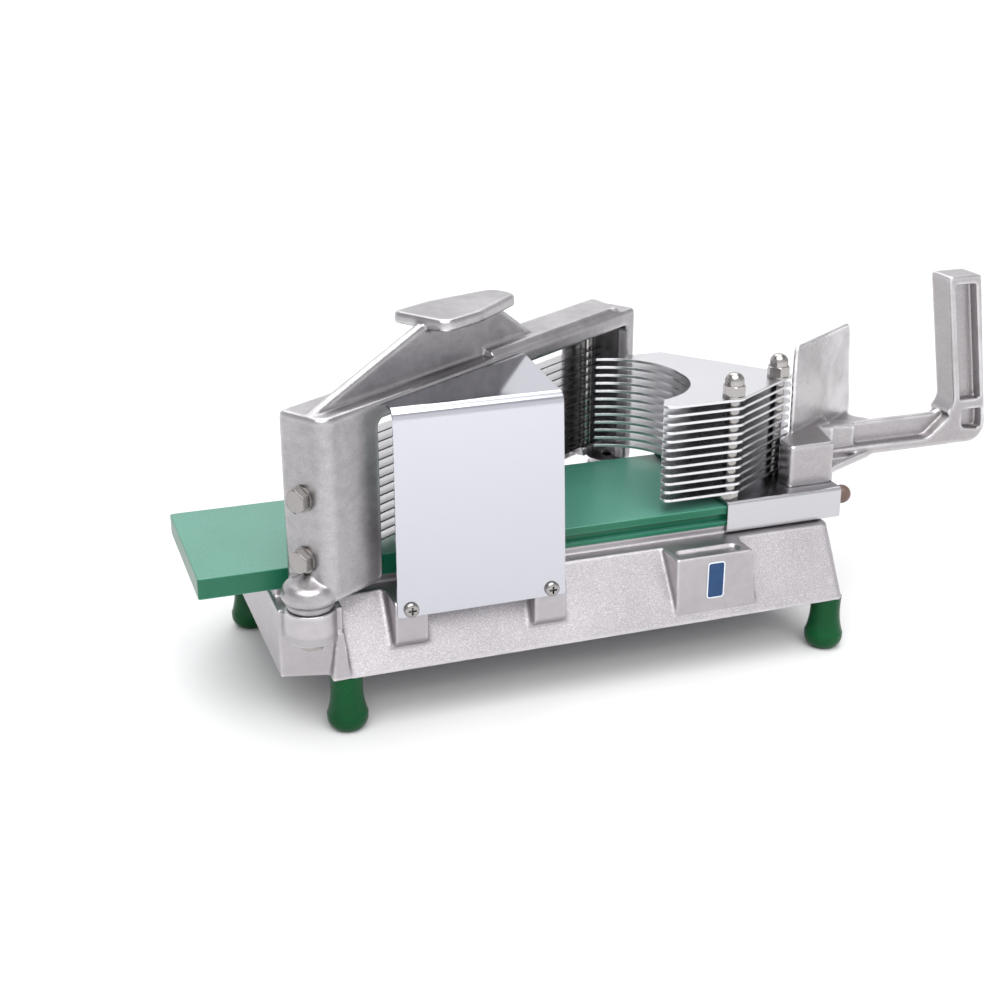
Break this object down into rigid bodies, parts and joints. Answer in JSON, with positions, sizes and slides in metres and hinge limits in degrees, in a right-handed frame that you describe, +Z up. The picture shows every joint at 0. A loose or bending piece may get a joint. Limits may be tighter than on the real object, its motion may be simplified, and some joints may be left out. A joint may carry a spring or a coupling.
{
  "type": "tomato slicer",
  "caption": "Hand-pushed tomato slicer: cast frame with slanted straight blades, green slide board and a sliding finger-plate pusher with upright grip.",
  "frame": {"origin": "on the worktop, at the middle of the object's bounding box in plan", "axes": "+X along the slide board towards the grip, +Y away from the front guard, +Z up"},
  "size_m": [0.5501, 0.1957, 0.2282],
  "materials": {
    "base_cast": "sand-blasted cast aluminium",
    "frame_cast": "smooth cast aluminium, edges polished by handling",
    "handle_cast": "as-cast aluminium",
    "foot_rubber": "dark green moulded rubber",
    "board_plastic": "green polyethylene, satin",
    "bumper_rubber": "brown rubber",
    "label_blue": "plain blue label with a pale border",
    "guard_steel": "bright sheet steel",
    "plate_steel": "bright sheet steel, broken edges",
    "blade_steel": "ground blade steel",
    "bright_hardware": "bright fasteners",
    "stainless": "plain stainless steel"
  },
  "bodies": {
    "base": {"base_casting": "base_cast", "foot_front_left": "foot_rubber", "foot_front_right": "foot_rubber", "foot_rear_left": "foot_rubber", "foot_rear_right": "foot_rubber", "foot_screws": "stainless", "slide_board": "board_plastic", "board_screws": "stainless", "end_bumper": "bumper_rubber", "label_plate": "label_blue", "front_guard": "guard_steel", "guard_screws": "bright_hardware", "blade_frame": "frame_cast", "frame_bolts": "bright_hardware", "blade_01": "blade_steel", "blade_02": "blade_steel", "blade_03": "blade_steel", "blade_04": "blade_steel", "blade_05": "blade_steel", "blade_06": "blade_steel", "blade_07": "blade_steel", "blade_08": "blade_steel", "blade_09": "blade_steel", "blade_10": "blade_steel", "blade_11": "blade_steel", "blade_12": "blade_steel", "blade_13": "blade_steel", "blade_spacers_near": "bright_hardware", "blade_spacers_far": "bright_hardware", "blade_pin_near": "stainless", "blade_pin_far": "stainless", "tension_block": "stainless", "tension_bolts": "bright_hardware", "tension_washers": "bright_hardware"},
    "pusher": {"slide_plate": "guard_steel", "guide_strip_front": "stainless", "guide_strip_rear": "stainless", "pusher_plate_01": "plate_steel", "pusher_plate_02": "plate_steel", "pusher_plate_03": "plate_steel", "pusher_plate_04": "plate_steel", "pusher_plate_05": "plate_steel", "pusher_plate_06": "plate_steel", "pusher_plate_07": "plate_steel", "pusher_plate_08": "plate_steel", "pusher_plate_09": "plate_steel", "pusher_plate_10": "plate_steel", "pusher_plate_11": "plate_steel", "pusher_plate_12": "plate_steel", "stud_spacers_front": "bright_hardware", "stud_spacers_rear": "bright_hardware", "stud_front": "bright_hardware", "stud_rear": "bright_hardware", "stud_nuts": "bright_hardware", "stud_washers": "bright_hardware", "acorn_nut_front": "bright_hardware", "acorn_nut_rear": "bright_hardware", "pusher_handle": "handle_cast", "handle_screws": "stainless"}
  },
  "joints": [
    {"name": "pusher_slide", "type": "slide", "parent": "base", "child": "pusher", "axis": [-1, 0, 0], "range_m": [0, 0.18]}
  ]
}
